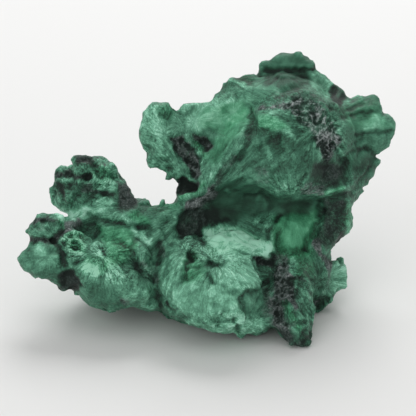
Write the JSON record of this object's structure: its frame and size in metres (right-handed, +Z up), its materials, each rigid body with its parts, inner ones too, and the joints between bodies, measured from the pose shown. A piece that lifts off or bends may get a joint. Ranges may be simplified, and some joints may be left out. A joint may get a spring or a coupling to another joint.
{
  "type": "malachite specimen",
  "caption": "Craggy hand specimen of fibrous malachite: silky radiating sprays with a knobbly arm, a deep bay and a dark crust, resting on its worn underside.",
  "frame": {"origin": "on the resting plane, at the middle of the specimen's bounding box", "axes": "+Z up, +X to the right along the specimen's length from the tip of the knobbly arm, -Y towards its show face"},
  "size_m": [0.0712, 0.045, 0.044],
  "materials": {
    "malachite": "silky fibrous green, mint where the fibres catch the light, with a dull purple-black porous crust"
  },
  "bodies": {
    "root": {"malachite": "malachite"}
  },
  "joints": []
}
